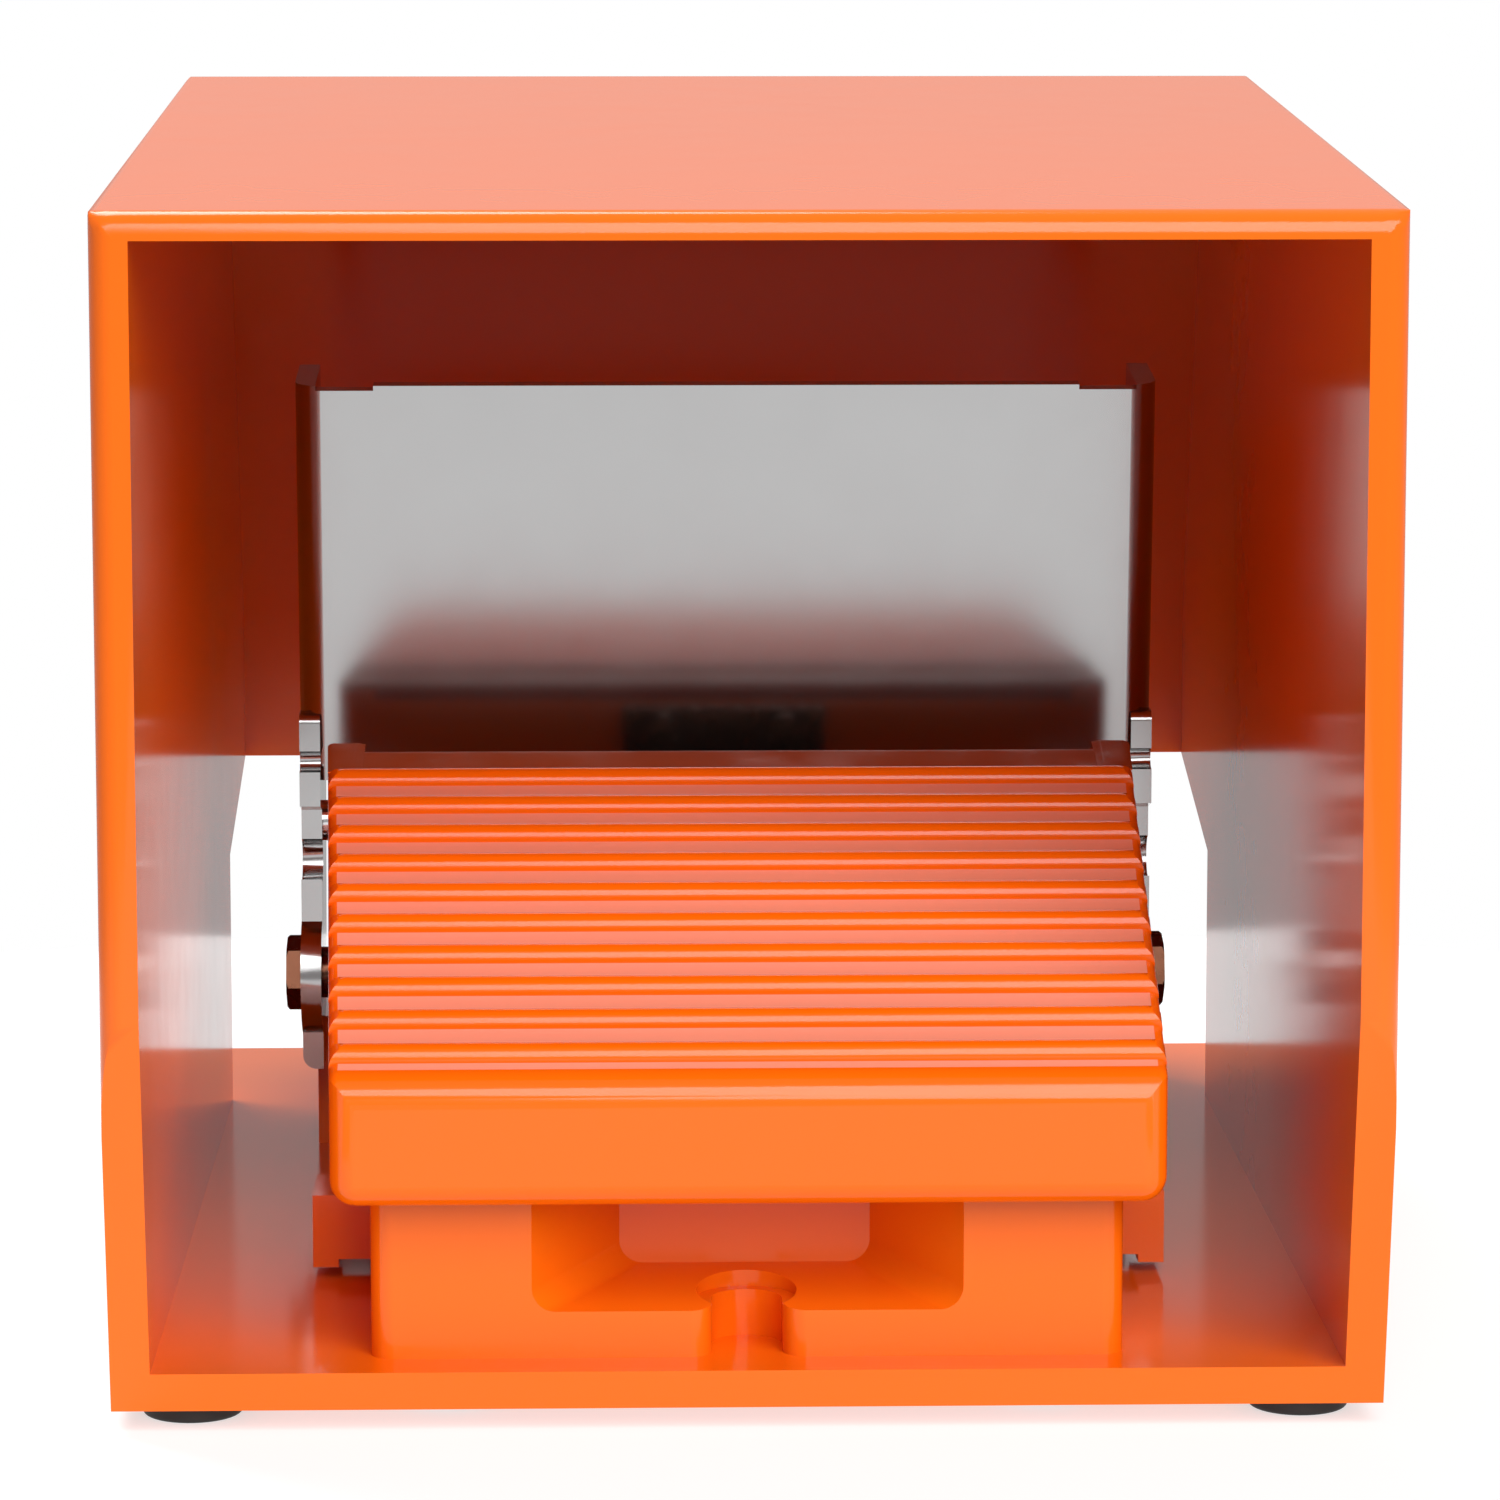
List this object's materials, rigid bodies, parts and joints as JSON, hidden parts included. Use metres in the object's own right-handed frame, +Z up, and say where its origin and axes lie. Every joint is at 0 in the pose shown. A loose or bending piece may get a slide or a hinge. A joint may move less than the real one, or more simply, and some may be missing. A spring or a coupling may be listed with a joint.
{
  "type": "industrial foot switch",
  "caption": "Heavy-duty foot switch under a protective hood: a sloping ribbed pedal presses the contacts once a toe flap is pushed back.",
  "frame": {"origin": "on the ground under the middle of the hood, level with the undersides of the rubber feet", "axes": "+Z up, +Y from the open front of the hood towards the cable entries, +X to the right seen from the front"},
  "size_m": [0.16, 0.222, 0.1648],
  "materials": {
    "orange_casting": "die-cast aluminium under smooth glossy orange enamel",
    "flap_steel": "zinc-plated steel sheet, satin",
    "bright_steel": "bright zinc plating",
    "spring_steel": "oiled spring wire",
    "black_rubber": "matte black rubber",
    "brass": "bright brass",
    "black_plastic": "glass-filled nylon, matte black",
    "white_plastic": "natural acetal"
  },
  "bodies": {
    "base": {"base_cover_plate": "bright_steel", "base_gasket": "black_rubber", "base_housing": "orange_casting", "blanking_plug": "black_plastic", "blanking_plug_seal": "black_rubber", "contact_block_left": "black_plastic", "contact_block_right": "black_plastic", "contact_block_screws": "bright_steel", "contact_springs": "spring_steel", "cover_plate_screws": "bright_steel", "earth_screw": "bright_steel", "earth_washer": "brass", "feet_screws": "bright_steel", "fixed_contacts": "brass", "flap_pivot_bushes": "bright_steel", "flap_pivot_screws": "bright_steel", "flap_torsion_springs": "spring_steel", "housing_fixing_screws": "bright_steel", "pedal_hinge_bushes": "white_plastic", "pedal_return_springs": "spring_steel", "plunger_guides": "brass", "plunger_seals": "black_rubber", "protective_hood": "orange_casting", "rubber_feet": "black_rubber", "terminal_screws": "bright_steel"},
    "pedal": {"pedal": "orange_casting", "pedal_hinge_pin": "bright_steel", "adjusting_screws": "bright_steel", "adjusting_lock_nuts": "bright_steel", "catch_plate": "bright_steel", "catch_plate_screws": "bright_steel"},
    "trigger": {"trigger_flap": "flap_steel", "catch_bar": "bright_steel"},
    "left_plunger": {"contact_plunger_left": "white_plastic", "contact_bridge_left": "brass"},
    "right_plunger": {"contact_plunger_right": "white_plastic", "contact_bridge_right": "brass"}
  },
  "joints": [
    {"name": "pedal_hinge", "type": "hinge", "parent": "base", "child": "pedal", "pos_m": [0, -0.085, 0.036], "axis": [-1, 0, 0], "range_deg": [0, 7], "stiffness_Nm_per_rad": 8, "springref_deg": -11.46, "deforming": ["pedal_return_springs"]},
    {"name": "trigger_hinge", "type": "hinge", "parent": "base", "child": "trigger", "pos_m": [0, 0.0285, 0.035], "axis": [-1, 0, 0], "range_deg": [0, 12], "stiffness_Nm_per_rad": 1, "springref_deg": -17.19, "deforming": ["flap_torsion_springs"]},
    {"name": "left_plunger_slide", "type": "slide", "parent": "base", "child": "left_plunger", "axis": [0, 0, -1], "range_m": [0, 0.0057], "deforming": ["contact_springs"]},
    {"name": "right_plunger_slide", "type": "slide", "parent": "base", "child": "right_plunger", "axis": [0, 0, -1], "range_m": [0, 0.0057]}
  ],
  "couplings": [
    {"joint": "left_plunger_slide", "follows": "pedal_hinge", "m_per_rad": 0.046},
    {"joint": "right_plunger_slide", "follows": "pedal_hinge", "m_per_rad": 0.046}
  ]
}
